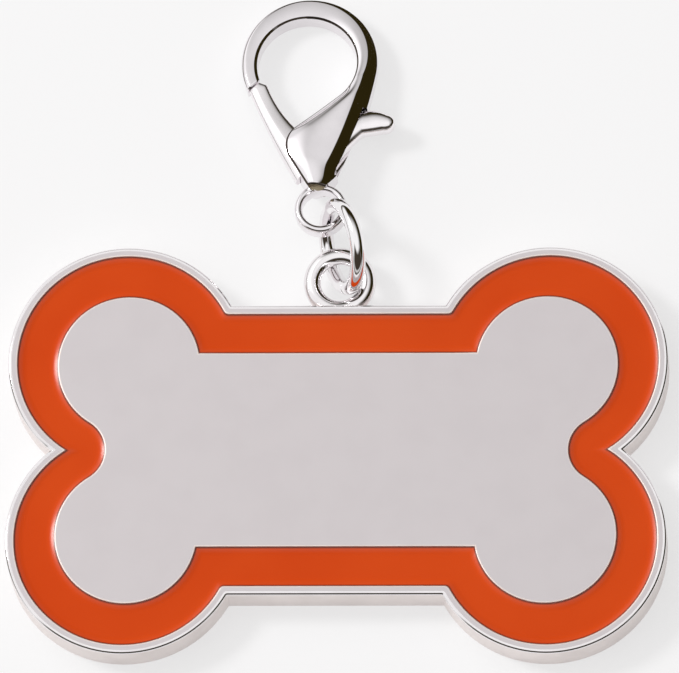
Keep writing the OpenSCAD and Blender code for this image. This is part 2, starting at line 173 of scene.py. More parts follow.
def rounded(points, radii, n=4):
    """An open path whose inner corners become curves that start at these distances from them.

    A point just outside each end of a curve keeps the shading beside it level.
    """
    outside = 1.3
    points = [np.asarray(p, float) for p in points]
    path = [points[0]]
    for before, at, after, r in zip(points, points[1:], points[2:], radii):
        if r == 0:
            path.append(at)
            continue
        a, b = at + r * unit(before - at), at + r * unit(after - at)
        path.append(at + outside * (a - at))
        path += curve(a, at, b, np.linspace(0, 1, n + 1))
        path.append(at + outside * (b - at))
    return path + [points[-1]]


def quarter_round(r, n=5):
    """(inset, drop) pairs round a corner, from the upright side to the level face."""
    angles = np.linspace(0, math.pi / 2, n + 1)
    return [(r * (1 - math.cos(a)), r * (1 - math.sin(a))) for a in angles]


def level(outline, z):
    return [(p[0], p[1], z) for p in outline]


def turned(profile, degrees, centre=(0, 0), z=0.0):
    """A section at this angle about an upright axis, from (radius, height) pairs."""
    return [(*polar(centre, r, degrees), z + h) for r, h in profile]


def wire_profile(radius, wire, n):
    """A round wire's (radius, height) pairs, its middle at radius."""
    return [polar((radius, 0), wire, 360 * k / n) for k in range(n)]


def turn_x(degrees):
    c, s = math.cos(math.radians(degrees)), math.sin(math.radians(degrees))
    return np.array([[1, 0, 0], [0, c, -s], [0, s, c]])


def turn_z(degrees):
    c, s = math.cos(math.radians(degrees)), math.sin(math.radians(degrees))
    return np.array([[c, -s, 0], [s, c, 0], [0, 0, 1]])


CLASP_TURN = turn_z(YAW) @ turn_x(-TILT)
RING_MATRIX = turn_z(90 + RING_TURN) @ turn_x(180 - RING_LEAN)


# Meshes
def raw(name, verts, faces):
    """An object at the origin from points in millimetres."""
    mesh = bpy.data.meshes.new(name)
    mesh.from_pydata([tuple(np.asarray(v) * MM) for v in verts], [], faces)
    obj = bpy.data.objects.new(name, mesh)
    bpy.context.collection.objects.link(obj)
    return obj


def tidy(obj, angle=SMOOTH):
    """Joins doubled points, turns all faces outwards and shades smooth but for sharper edges."""
    bm = bmesh.new()
    bm.from_mesh(obj.data)
    bmesh.ops.remove_doubles(bm, verts=bm.verts, dist=SAME_POINT)
    bmesh.ops.recalc_face_normals(bm, faces=bm.faces)
    bm.to_mesh(obj.data)
    bm.free()
    obj.data.shade_smooth()
    obj.data.set_sharp_from_angle(angle=math.radians(angle))


def make(name, verts, faces, angle=SMOOTH, kinds=None):
    """A tidy object, with an empty material slot for each number in kinds."""
    obj = raw(name, verts, faces)
    for _ in range(1 + max(kinds or [0])):
        obj.data.materials.append(None)
    if kinds:
        obj.data.polygons.foreach_set("material_index", kinds)
    tidy(obj, angle)
    return obj


def combine(obj, other, operation, angle=SMOOTH):
    """The exact union or difference of obj and other, kept in obj; other goes."""
    mod = obj.modifiers.new("combine", "BOOLEAN")
    mod.object, mod.operation, mod.solver = other, operation, "EXACT"
    evaluated = obj.evaluated_get(bpy.context.evaluated_depsgraph_get())
    result = bpy.data.meshes.new_from_object(evaluated)
    obj.modifiers.remove(mod)
    obj.data = result
    bpy.data.objects.remove(other)
    tidy(obj, angle)
    return obj


def loop_faces(a, b, n):
    """Quads between two closed loops of n points that start at points a and b."""
    return [(a + k, a + (k + 1) % n, b + (k + 1) % n, b + k) for k in range(n)]


def skin(name, sections, closed=False, angle=SMOOTH, kind=None):
    """A lofted solid over closed sections of equal length, capped unless it closes on itself.

    kind(i, k) gives the material number of the face after section i and point k.
    """
    n, m = len(sections[0]), len(sections)
    verts = [p for s in sections for p in s]
    faces = []
    for i in range(m if closed else m - 1):
        faces += loop_faces(i * n, (i + 1) % m * n, n)
    kinds = [kind(i // n, i % n) for i in range(len(faces))] if kind else None
    if not closed:
        faces += [tuple(range(n))[::-1], tuple(range((m - 1) * n, m * n))]
        kinds = kinds + [0, 0] if kinds else None
    return make(name, verts, faces, angle, kinds)


def cylinder(name, centre, radius, z0, z1, n=96):
    circle = [polar(centre, radius, 360 * k / n) for k in range(n)]
    return skin(name, [level(circle, z) for z in (z0, z1)])


def block(name, low, high):
    (x0, y0, z0), (x1, y1, z1) = low, high
    outline = [(x0, y0), (x1, y0), (x1, y1), (x0, y1)]
    return skin(name, [level(outline, z) for z in (z0, z1)])


def move(obj, matrix, origin):
    """Moves the mesh itself, so that the object stays at the origin."""
    co = np.empty(len(obj.data.vertices) * 3)
    obj.data.vertices.foreach_get("co", co)
    co = co.reshape(-1, 3) @ np.asarray(matrix).T + np.asarray(origin) * MM
    obj.data.vertices.foreach_set("co", co.ravel())
    obj.data.update()
    return obj


def add_loops(verts, faces, loops):
    """Joins equal closed loops with quads and returns the first and last loops' point numbers."""
    starts = []
    for loop in loops:
        starts.append(len(verts))
        verts += loop
    n = len(loops[0])
    for a, b in zip(starts, starts[1:]):
        faces += loop_faces(a, b, n)
    return list(range(starts[0], starts[0] + n)), list(range(starts[-1], starts[-1] + n))


def fill(obj, *outlines):
    """Fills the level region between closed edge loops, given as lists of point numbers."""
    bm = bmesh.new()
    bm.from_mesh(obj.data)
    bm.verts.ensure_lookup_table()
    edges = []
    for loop in outlines:
        for a, b in zip(loop, loop[1:] + loop[:1]):
            edges.append(bm.edges.get((bm.verts[a], bm.verts[b])))
    bmesh.ops.triangle_fill(bm, use_beauty=True, use_dissolve=False, edges=edges)
    bm.to_mesh(obj.data)
    bm.free()


def dress(obj, *materials):
    """Gives an object these materials in place of its own."""
    obj.data.materials.clear()
    for mat in materials:
        obj.data.materials.append(mat)


# The tag. Its outlines at any inset have the same number of points, so that they can be joined
def mirror4(quarter):
    """A closed outline, counter-clockwise, from its quarter between the right end and the top."""
    right = list(quarter)
    left = [np.array([-p[0], p[1]]) for p in reversed(right)]
    top = right + left
    bottom = [np.array([-p[0], -p[1]]) for p in top]
    return top + bottom


def bone(inset, n=64):
    """The plate's outline: a sharp notch at each end, and small curves into the shaft."""
    r, w, soft = LOBE_R - inset, SHAFT_W - inset, 0.1 + 0.26 * inset
    end = -math.degrees(math.asin((LOBE_Y - MIDDLE_GAP) / r))
    start = 180 - math.degrees(math.asin((w - LOBE_Y) / r))
    corner = polar((LOBE_X, LOBE_Y), r, start)
    lobe = arc((LOBE_X, LOBE_Y), r, end, start - math.degrees(soft / r), n)
    a, b = lobe[-1], corner - [soft, 0]
    bend = curve(a, corner, b, np.linspace(0, 1, 8)[1:])
    return mirror4(lobe + bend + run(b, (0, w), 6)[:-1])


def panel(inset, n=48):
    """The bare panel's outline, with a round notch at each end."""
    r, w, q = PANEL_R - inset, PANEL_W - inset, NOTCH_R + inset
    notch_x = PANEL_X + math.sqrt((PANEL_R + NOTCH_R) ** 2 - PANEL_Y**2)
    touch = math.degrees(math.atan2(-PANEL_Y, notch_x - PANEL_X))
    start = 180 - math.degrees(math.asin((w - PANEL_Y) / r))
    notch = arc((notch_x, 0), q, 180, 180 + touch, n // 2)
    lobe = arc((PANEL_X, PANEL_Y), r, touch, start, n)
    return mirror4(notch[1:] + lobe[1:] + run(lobe[-1], (0, w), 6)[:-1])


def tag_plate(materials):
    """The plate, from its back round the outer edge, the rim and the channel to the bare panel."""
    verts, faces, kinds = [], [], []

    def band(profile, outline, kind):
        """Adds a strip of one material that follows (inset, height) pairs round an outline."""
        ends = add_loops(verts, faces, [level(outline(inset), z) for inset, z in profile])
        kinds.extend([kind] * (len(faces) - len(kinds)))
        return ends

    side_top, bevel_low = PLATE_T - EDGE_REACH, PLATE_T - BEVEL
    back = quarter_round(BACK_ROUND, 3)[::-1]
    back_loop, _ = band(back + [(0, side_top)], bone, SIDE)
    corners = [(0, side_top), (0, PLATE_T - EDGE_DROP), (EDGE_IN, PLATE_T), (EDGE_REACH, PLATE_T)]
    band(rounded(corners, (0.03, 0.02), 4), bone, POLISHED)
    band([(EDGE_REACH, PLATE_T), (RIM_W - (BEVEL + LIP), PLATE_T)], bone, FACE)
    bevel = rounded([(0, PLATE_T), (BEVEL, PLATE_T), (BEVEL, bevel_low)], (0.08,), 4)[1:]
    bevel = [(-LIP, PLATE_T)] + bevel
    band([(RIM_W - BEVEL + i, z) for i, z in bevel], bone, INNER_EDGE)
    _, floor_outer = band([(RIM_W, bevel_low), (RIM_W, CHANNEL_Z)], bone, FACE)
    floor_inner, _ = band([(0, CHANNEL_Z), (0, bevel_low)], panel, FACE)
    _, top = band([(BEVEL - i, z) for i, z in reversed(bevel)], panel, INNER_EDGE)
    obj = raw("tag_plate", verts, faces)
    dress(obj, *materials)
    obj.data.polygons.foreach_set("material_index", kinds)
    fill(obj, floor_outer, floor_inner)
    fill(obj, top)
    fill(obj, back_loop)
    tidy(obj)
    return obj


def tag_body(materials):
    """The plate with its loop; materials are for FACE, SIDE, INNER_EDGE and POLISHED."""
    n = 160
    profile = wire_profile(LOOP_R, LOOP_WIRE, 48)
    sections = [turned(profile, 360 * i / n, (0, LOOP_Y), LOOP_Z) for i in range(n)]
    plate, loop = tag_plate(materials), skin("loop", sections, closed=True)
    dress(loop, *materials)
    loop.data.polygons.foreach_set("material_index", [POLISHED] * len(loop.data.polygons))
    return combine(plate, loop, "UNION")


def climb_share(distance):
    """The share of the climb at a distance from the wall: an even slope, then a soft end."""
    soft = (REACH - EVEN) / 2
    whole = EVEN + soft
    if distance < EVEN:
        return 1 - distance / whole
    return soft / whole * ((REACH - distance) / (REACH - EVEN)) ** 2


def enamel():
    """Enamel that climbs at the walls, as it does when it sets.

    Each point keeps how high it has climbed (rise) and how near a wall it is (near), which sets the
    painted shade along the walls.
    """
    verts, faces, rise, near = [], [], [], []

    def wall(outline):
        loops = [level(outline(0), CHANNEL_Z)]
        loops += [level(outline(i), ENAMEL_Z + CLIMB * climb_share(i)) for i in CLIMB_PLACES]
        ends = add_loops(verts, faces, loops)
        for i in (0,) + CLIMB_PLACES:
            rise.extend([climb_share(i)] * len(loops[0]))
            near.extend([max(0.0, 1 - i / SHADE_REACH)] * len(loops[0]))
        return ends

    low_outer, high_outer = wall(lambda i: bone(RIM_W + i))
    low_inner, high_inner = wall(lambda i: panel(-i))
    obj = raw("enamel", verts, faces)
    for name, values in (("rise", rise), ("near", near)):
        obj.data.attributes.new(name, "FLOAT", "POINT").data.foreach_set("value", values)
    fill(obj, high_outer, high_inner)
    fill(obj, low_outer, low_inner)
    tidy(obj, ENAMEL_SMOOTH)
    return obj


def jump_ring():
    """The ring, its two cut ends a little rounded where they meet."""
    gap = math.degrees(2 * math.asin(RING_JOINT / 2 / RING_R))
    turns = CUT_END + [(a, 0) for a in np.linspace(1, 359 - gap, 220)]
    turns += [(360 - a - gap, inset) for a, inset in reversed(CUT_END)]
    sections = []
    for a, inset in turns:
        sections.append(turned(wire_profile(RING_R, RING_WIRE - inset, 56), RING_JOINT_AT + a))
    return move(skin("ring", sections), RING_MATRIX, RING_C)


# The clasp
SPINE_END_AT = SPINE_AT + SPINE_TURN
SPINE_C = HOOK_C + (HOOK_R - SPINE_R) * polar((0, 0), 1, -SPINE_AT)
SPINE_END = polar(SPINE_C, SPINE_R, -SPINE_END_AT)
HEEL_C = SPINE_END - HEEL_R * polar((0, 0), 1, -SPINE_END_AT)
THROAT_C = OPEN_C + (OPEN_R - THROAT_R) * polar((0, 0), 1, -THROAT_AT)
TO_SHOULDER = SHOULDER_C - THROAT_C
DIAGONAL = math.degrees(
    math.atan2(TO_SHOULDER[1], TO_SHOULDER[0])
    - math.asin((THROAT_R + SHOULDER_R) / np.linalg.norm(TO_SHOULDER))
)
HALF_HOOK = HOOK_N // 2
THROAT_END = HOOK_N + THROAT_N + EDGE_N
CHEEK_STEP = CHEEK_LEN / HEEL_N


def clasp_edges():
    """The clasp's outer and inner edges, from the nose round the hook and down to the tip."""
    outer = arc(HOOK_C, HOOK_R, NOSE_OUT, -SPINE_AT, HOOK_N)
    outer += arc(SPINE_C, SPINE_R, -SPINE_AT, -SPINE_END_AT, THROAT_N + 2 * EDGE_N)[1:]
    outer += arc(HEEL_C, HEEL_R, -SPINE_END_AT, -SPINE_END_AT - HEEL_TURN, HEEL_N)[1:]
    inner = arc(OPEN_C, OPEN_R, NOSE_IN, -THROAT_AT, HOOK_N)
    inner += arc(THROAT_C, THROAT_R, -THROAT_AT, DIAGONAL + 90, THROAT_N)[1:]
    inner += run(inner[-1], polar(SHOULDER_C, -SHOULDER_R, DIAGONAL + 90), EDGE_N)
    inner += arc(SHOULDER_C, SHOULDER_R, DIAGONAL + 270, 270 - CHEEK_SLOPE, EDGE_N)[1:]
    inner += run(inner[-1], inner[-1] + CHEEK_LEN * polar((0, 0), 1, -CHEEK_SLOPE), HEEL_N)
    return outer, inner


def along(nose, hook, spine, cheek, tip):
    """A size that changes along the clasp, for each of its sections."""
    sizes = [nose] + ease(nose, hook, HALF_HOOK) + ease(hook, spine, HALF_HOOK)
    sizes += ease(spine, cheek, THROAT_N + EDGE_N) + [cheek] * EDGE_N
    return sizes + ease(cheek, tip, HEEL_N)


def half_heights():
    """Half the clasp's thickness at each of its sections."""
    sizes = [NOSE_T] + ease(NOSE_T, HOOK_T, HALF_HOOK)
    sizes += ease(HOOK_T, CHEEK_T, THROAT_END - HALF_HOOK) + [CHEEK_T] * EDGE_N
    return sizes + ease(CHEEK_T, TIP_T, HEEL_N)


def flank_sizes():
    """The flank's width and slope at each section: narrowest over the hook, wide down the spine."""
    flanks = along(0.0, 0.0, HOOK_FLANK, 1.15, 0.4)
    slopes = [FLANK_SLOPE] * len(flanks)
    for i in range(HOOK_N + 1):
        at = NOSE_OUT - (NOSE_OUT + SPINE_AT) * i / HOOK_N
        to_nose = min(max((at - 100) / 80, 0), 1)
        to_spine = min(max((100 - at) / (100 + SPINE_AT), 0), 1)
        flanks[i] = NARROW_FLANK + NARROW_FLANK * to_nose
        flanks[i] += (HOOK_FLANK - NARROW_FLANK) * to_spine**1.6
        slopes[i] = FLANK_SLOPE - SLOPE_EASE * max(math.sin(math.radians(at)), 0) ** 1.5
    return flanks, slopes


def face_falls(count):
    """How far the face falls at each section: softly under the opening, to the diagonal edge."""
    falls = [0.0] * count
    first, last = HOOK_N, THROAT_END + EDGE_N // 2
    for i in range(first, last):
        falls[i] = FALL * math.sin(math.pi * (i - first) / (last - first)) ** 1.3
    return falls


def round_tip(inner, outer, heights):
    """Rounds the clasp down and in to the eye over the last stretch."""
    for i in range(len(outer)):
        left = (len(outer) - 1 - i) * CHEEK_STEP
        if left < TIP_ROUND:
            share = math.sqrt(1 - (1 - left / TIP_ROUND) ** 2)
            width = TIP_NARROW + (1 - TIP_NARROW) * share
            middle = (inner[i] + outer[i]) / 2
            heights[i] = TIP_LOW + (heights[i] - TIP_LOW) * share
            inner[i] = middle + width * (inner[i] - middle)
            outer[i] = middle + width * (outer[i] - middle)


def clasp_rows():
    """What body_section needs at each section of the clasp."""
    outer, inner = clasp_edges()
    heights = half_heights()
    round_tip(inner, outer, heights)
    flanks, slopes = flank_sizes()
    crowns = along(0.015, 0.02, 0.04, 0.22, 0.15)
    bulges = along(0.012, 0.006, 0.0, 0.0, 0.0)
    edge_w = along(0.26, 0.15, 0.14, 0.16, 0.16)
    edge_h = along(0.17, 0.125, 0.115, 0.14, 0.14)
    sides = []
    for height, crown, flank, slope in zip(heights, crowns, flanks, slopes):
        drop = crown + flank * math.tan(math.radians(slope))
        sides.append(max(height - drop, THIN_SIDE))
    falls = face_falls(len(outer))
    return list(zip(inner, outer, heights, sides, flanks, edge_w, edge_h, falls, crowns, bulges))


def face_points(edge_w, width, height, fall, crown):
    """The face between its bevelled edge and the flank: crowned, and falling away by fall."""
    points = []
    for t in np.linspace(0, 1, FACE_N + 2)[1:-1] ** 1.4:
        u = edge_w + (width - edge_w) * t
        drop = fall * max(0, 1 - (u - edge_w) / FALL_W) ** 2
        points.append((u, height + crown * (1 - (2 * t - 1) ** 2) - drop))
    return points


def flank_points(ridge, side, bulge):
    out = unit([ridge[1] - side[1], side[0] - ridge[0]])
    return [ridge + (side - ridge) * t + 4 * bulge * t * (1 - t) * out for t in (0.25, 0.5, 0.75)]


def safe_radii(path, radii):
    """Radii kept well inside their neighbours: a section that crosses itself breaks a boolean."""
    lengths = [np.linalg.norm(np.subtract(b, a)) for a, b in zip(path, path[1:])]
    safe = []
    for r, a, b in zip(radii, lengths, lengths[1:]):
        safe.append(r and max(min(r, CORNER_SHARE * a, CORNER_SHARE * b), CORNER_LEAST))
    return safe


def body_section(
    inner, outer, half_t, side_t, flank, edge_w, edge_h, fall, crown, bulge, inset=0.0
):
    """One section across the clasp: a bevel, a crowned face, a slanted flank and an upright side.

    The back mirrors the front. The first part of the bevel may take a material with painted shade.
    """
    w = np.linalg.norm(outer - inner)
    across = (outer - inner) / w
    height = half_t - crown
    places = (0, PAINTED_LINE_SHARE * edge_w, edge_w)
    bevel = [(u, height - fall - edge_h * (1 - u / edge_w)) for u in places]
    face = face_points(edge_w, w - flank, height, fall, crown)
    ridge, side = np.array([w - flank, height]), np.array([w, side_t])
    bent = flank_points(ridge, side, bulge)
    path = [(0, 0)] + bevel + face + [ridge] + bent + [side, (w, 0)]
    radii = [0.03, 0, 0.03] + [0] * FACE_N + [0.04] + [0] * len(bent) + [0.04]
    front = rounded(path, safe_radii(path, radii), 3)[1:-1]
    points = [np.array(p) for p in front + [(u, -z) for u, z in reversed(front)]]
    if inset:
        middle = np.array([w / 2, 0.0])
        points = [p + inset * unit(middle - p) for p in points]
    return [(*(inner + u * across), z) for u, z in points]


def blend(a, b, t):
    return [(1 - t) * np.asarray(p) + t * np.asarray(q) for p, q in zip(a, b)]


def clasp_sections():
    """The clasp's sections; the first three round the nose's end off."""
    rows = clasp_rows()
    sections = [body_section(*row) for row in rows]
    shrunk = body_section(*rows[0], inset=NOSE_ROUND)
    plain, following = sections[:2]
    soft = blend(blend(plain, following, 0.15), shrunk, 0.3)
    return [shrunk, soft, blend(plain, following, 0.5)] + sections[1:]


def clasp_eye():
    n, m = 120, 10
    flat, round_r = (EYE_T - EYE_BAR) / 2, EYE_BAR / 2
    profile = []
    for s in (1, -1):
        for a in np.linspace(0, math.pi, m + 1):
            r = EYE_HOLE + round_r + s * round_r * math.cos(a)
            profile.append((r, s * (flat + round_r * math.sin(a))))
    return skin("eye", [turned(profile, 360 * i / n) for i in range(n)], closed=True)


def clasp_body():
    """The clasp without its gate; its material numbers are for the plating, a painted shade line
    and a painted dark end at the tip.
    """
    sections = clasp_sections()
    front_to, painted_line_to = len(sections[0]) // 2, 10

    def kind(i, k):
        """Plating, a painted shade line along the opening and the cheek, or painted shade at the
        end by the eye.
        """
        left = (len(sections) - 1 - i) * CHEEK_STEP
        if k < front_to and left < TIP_DARK:
            return PAINTED_END if left < TIP_PAINTED_END else PAINTED_LINE
        return PAINTED_LINE if i > HALF_HOOK and k < painted_line_to else PLATING

    obj = skin("clasp", sections, angle=CLASP_SMOOTH, kind=kind)
    # Both cutters reach well past the clasp
    slot = block("slot", (-12, SLOT_LOW, -SLOT_T / 2), (12, SLOT_TOP, SLOT_T / 2))
    bore = cylinder("bore", PIVOT, PIN_R, -3.3, CHEEK_T - PIN_COVER)
    combine(obj, slot, "DIFFERENCE", CLASP_SMOOTH)
    combine(obj, bore, "DIFFERENCE", CLASP_SMOOTH)
    combine(obj, clasp_eye(), "UNION", CLASP_SMOOTH)
    return move(obj, CLASP_TURN, EYE_C)


def oval(right, left, half_t, right_side, left_side, n=40):
    """A section between two edge points, squarer at a side the higher that side's number is."""
    middle, reach = (right + left) / 2, (right - left) / 2
    points = []
    for k in range(n):
        a = 2 * math.pi * (k + 0.5) / n
        c, s = math.cos(a), math.sin(a)
        side = right_side if c > 0 else left_side
        q = middle + reach * math.copysign(abs(c) ** (2 / side), c)
        points.append((*q, half_t * math.copysign(abs(s) ** (2 / side), s)))
    return points


def gate_arm():
    """The lever from the nose down to its heel and its hub."""
    nose_out, nose_in = polar(HOOK_C, HOOK_R, NOSE_OUT), polar(OPEN_C, OPEN_R, NOSE_IN)
    face = unit(nose_in - nose_out)
    normal = np.array([face[1], -face[0]])
    tip_out = nose_out + TIP_GAP * (normal + face)
    tip_in = nose_in + TIP_GAP * normal
    corner = tip_in + GATE_CORNER * normal + GATE_CORNER / 2 * face
    crotch = polar(PIVOT, HUB_R, 60)
    outer = [tip_out] + bow(tip_out + TIP_GAP * normal, PIVOT + GATE_HEEL, GATE_BOW_OUT, GATE_N)
    inner = [tip_in] + bow(corner, crotch, GATE_BOW_IN, GATE_N)
    thick = [GATE_TIP_T, GATE_TIP_T] + ease(GATE_TIP_T, GATE_T, GATE_N)
    return skin("gate", [oval(a, b, t, 2.5, 4) for a, b, t in zip(outer, inner, thick)])


def gate_lug():
    """The thumb lug, from the hub out past the clasp's spine to a rounded end."""
    n = LUG_N
    spine_x = SPINE_C[0] + math.sqrt(SPINE_R**2 - (LUG_C[1] - SPINE_C[1]) ** 2)
    root = np.array([spine_x, LUG_C[1]])
    upper = bow(polar(PIVOT, HUB_R, 150), root + [0, LUG_W], -LUG_R / 2, n)
    upper += bow(upper[-1], polar(LUG_C, LUG_R, 80), -LUG_BOW, n // 2)[1:]
    upper += arc(LUG_C, LUG_R, 80, 15, n - n // 2)[1:]
    lower = bow(polar(PIVOT, HUB_R, -40), root - [0, LUG_W], -LUG_R / 4, n)
    lower += arc(LUG_C, LUG_R, -100, -15, n)[1:]
    heights = [GATE_T] * (n + 1)
    heights += [GATE_T * math.sqrt(1 - (0.8 * i / n) ** 2) for i in range(1, n + 1)]
    return skin("lug", [oval(a, b, t, 2.5, 2.5) for a, b, t in zip(lower, upper, heights)])


def clasp_gate():
    gate = gate_arm()
    combine(gate, gate_lug(), "UNION")
    combine(gate, cylinder("hub", PIVOT, HUB_R, -GATE_T, GATE_T), "UNION")
    combine(gate, cylinder("pin_hole", PIVOT, PIN_R + PIN_ROOM, -3, 3), "DIFFERENCE")
    return move(gate, CLASP_TURN, EYE_C)


# Materials
class Nodes:
    """Short names for building a node tree; a value may be a number, a colour or a socket."""

    def __init__(self, tree):
        self.tree = tree
        tree.nodes.clear()

    def add(self, kind, values=None, **settings):
        node = self.tree.nodes.new("ShaderNode" + kind)
        for key, value in settings.items():
            setattr(node, key, value)
        for key, value in (values or {}).items():
            self.put(node.inputs[key], value)
        return node

    def put(self, socket, value):
        if isinstance(value, bpy.types.NodeSocket):
            self.tree.links.new(value, socket)
        else:
            socket.default_value = value

    def math(self, operation, a, b=0.0, c=0.0):
        return self.add("Math", {0: a, 1: b, 2: c}, operation=operation).outputs[0]

    def times(self, a, b):
        return self.math("MULTIPLY", a, b)

    def plus(self, a, b):
        return self.math("ADD", a, b)

    def opposite(self, a):
        """One less the value."""
        return self.math("SUBTRACT", 1.0, a)

    def ramp(self, value, low, high, **settings):
        return self.add("MapRange", {"Value": value, "From Min": low, "From Max": high}, **settings)

    def smooth(self, value, low, high):
        """0 below low, 1 above high and soft between them."""
        return self.ramp(value, low, high, interpolation_type="SMOOTHSTEP").outputs[0]

    def spread(self, value, low, high, to_low, to_high):
        """Even from to_low at low to to_high at high."""
        node = self.ramp(value, low, high)
        self.put(node.inputs["To Min"], to_low)
        self.put(node.inputs["To Max"], to_high)
        return node.outputs[0]

    def mix(self, factor, a, b):
        """The colour a where factor is 0 and b where it is 1."""
        node = self.add("Mix", data_type="RGBA")
        sockets = {s.identifier: s for s in node.inputs}
        self.put(sockets["Factor_Float"], factor)
        for key, value in (("A_Color", a), ("B_Color", b)):
            self.put(sockets[key], (*value, 1) if isinstance(value, tuple) else value)
        return next(s for s in node.outputs if s.identifier == "Result_Color")

    def noise(self, scale, detail):
        place = self.add("TexCoord").outputs["Object"]
        values = {"Vector": place, "Scale": scale, "Detail": detail, "Roughness": 0.5}
        return self.add("TexNoise", values).outputs["Fac"]

    def bump(self, height, distance):
        values = {"Height": height, "Strength": 1.0, "Distance": distance}
        return self.add("Bump", values).outputs[0]


def material(name):
    mat = bpy.data.materials.new(name)
    mat.use_nodes = True
    return mat, Nodes(mat.node_tree)


# Each metal: its two tones, roughness, height and scale of its low waves, and how metallic it is
METALS = {
    "satin_nickel": ((0.694, 0.647, 0.66), (0.68, 0.633, 0.646), 0.45, 4e-7, 260.0, 0.3),
    "cast_side": ((0.92, 0.85, 0.83), (0.86, 0.79, 0.77), 0.45, 6e-6, 900.0, 0.8),
    "soft_edge": ((0.8, 0.71, 0.67), (0.76, 0.67, 0.63), 0.5, 1e-6, 900.0, 1.0),
    "polished_nickel": ((0.9, 0.87, 0.88), (0.84, 0.81, 0.82), 0.08, 2e-6, 400.0, 1.0),
    "bright_nickel": ((0.87, 0.835, 0.855), (0.82, 0.785, 0.805), 0.07, 3e-6, 300.0, 1.0),
    # Painted shade: the dark line along the clasp's bevel and cheek
    "painted_shade_line": ((0.09, 0.075, 0.06), (0.07, 0.055, 0.045), 0.4, 1e-6, 900.0, 1.0),
    # Painted shade, dark and brassy, at the clasp's end by the eye
    "painted_shade_end": ((0.3, 0.25, 0.16), (0.22, 0.18, 0.11), 0.3, 2e-6, 900.0, 1.0),
    # The gate's plating: rougher than the body's, and lighter in colour as painted light
    "lever_nickel_painted_light": ((0.95, 0.915, 0.93), (0.91, 0.875, 0.89), 0.14, 3e-6, 300.0, 1.0),
    "ring_nickel": ((0.93, 0.91, 0.92), (0.88, 0.86, 0.87), 0.05, 2e-6, 400.0, 1.0),
    "spring_steel": ((0.5, 0.49, 0.48), (0.42, 0.41, 0.4), 0.3, 2e-6, 900.0, 1.0),
}
TONE_SCALE, POLISH_SCALE = 350.0, 900.0
POLISH_LEAST, POLISH_MOST = 0.95, 1.05

ENAMEL_TONES = (0.725, 0.067, 0.0058), (0.762, 0.077, 0.0078)
# The painted shade in a line along the enamel's walls
ENAMEL_PAINTED_SHADE = (0.08, 0.016, 0.001)
ENAMEL_TONE_SCALE, ENAMEL_WAVE_SCALE, ENAMEL_WAVE = 120.0, 160.0, 5e-6

FLOOR_COLOUR, FLOOR_GLOW = (0.95, 0.945, 0.948, 1), (0.985, 0.98, 0.983, 1)
FLOOR_SHARE = 0.65


def metal(name, bright, dull, rough, wave, wave_scale, mirror):
    """Plated metal: a bright plating with faint tone changes, uneven polish and low waves."""
    mat, nodes = material(name)
    tone = nodes.smooth(nodes.noise(TONE_SCALE, 3.0), 0.35, 0.7)
    least, most = POLISH_LEAST * rough, POLISH_MOST * rough
    values = {
        "Base Color": nodes.mix(tone, bright, dull),
        "Metallic": mirror,
        "Roughness": nodes.spread(nodes.noise(POLISH_SCALE, 4.0), 0.3, 0.7, least, most),
        "Specular IOR Level": 0.25,
        "Normal": nodes.bump(nodes.noise(wave_scale, 2.0), wave),
    }
    shader = nodes.add("BsdfPrincipled", values)
    nodes.add("OutputMaterial", {"Surface": shader.outputs[0]})
    return mat


def enamel_material():
    """Orange enamel with painted shade in a line along the walls, and glossier where it climbs
    them.
    """
    mat, nodes = material("orange_enamel")
    rise = nodes.add("Attribute", attribute_name="rise").outputs["Fac"]
    near = nodes.add("Attribute", attribute_name="near").outputs["Fac"]
    tone = nodes.smooth(nodes.noise(ENAMEL_TONE_SCALE, 2.0), 0.3, 0.7)
    wave = nodes.bump(nodes.noise(ENAMEL_WAVE_SCALE, 1.0), ENAMEL_WAVE)
    values = {
        "Base Color": nodes.mix(near, nodes.mix(tone, *ENAMEL_TONES), ENAMEL_PAINTED_SHADE),
        "Roughness": 0.4,
        "Specular IOR Level": 0.02,
        "Normal": wave,
        "Coat Weight": nodes.spread(rise, 0.15, 0.8, 0.1, 1.0),
        "Coat Roughness": 0.22,
        "Coat IOR": 1.45,
        "Coat Normal": wave,
    }
    shader = nodes.add("BsdfPrincipled", values)
    nodes.add("OutputMaterial", {"Surface": shader.outputs[0]})
    return mat


def floor_material():
    """A white floor with soft shadows; FLOOR_SHARE of what is seen of it is its own white."""
    mat, nodes = material("floor")
    shaded = nodes.add("BsdfDiffuse", {"Color": FLOOR_COLOUR, "Roughness": 0.0})
    plain = nodes.add("Emission", {"Color": FLOOR_GLOW, "Strength": 1.0})
    path = nodes.add("LightPath").outputs
    seen = nodes.math("MAXIMUM", path["Is Camera Ray"], path["Is Glossy Ray"])
    seen = nodes.math("MAXIMUM", seen, path["Is Transmission Ray"])
    share = nodes.times(seen, FLOOR_SHARE)
    surface = nodes.add("MixShader", {0: share, 1: shaded.outputs[0], 2: plain.outputs[0]})
    nodes.add("OutputMaterial", {"Surface": surface.outputs[0]})
    return mat


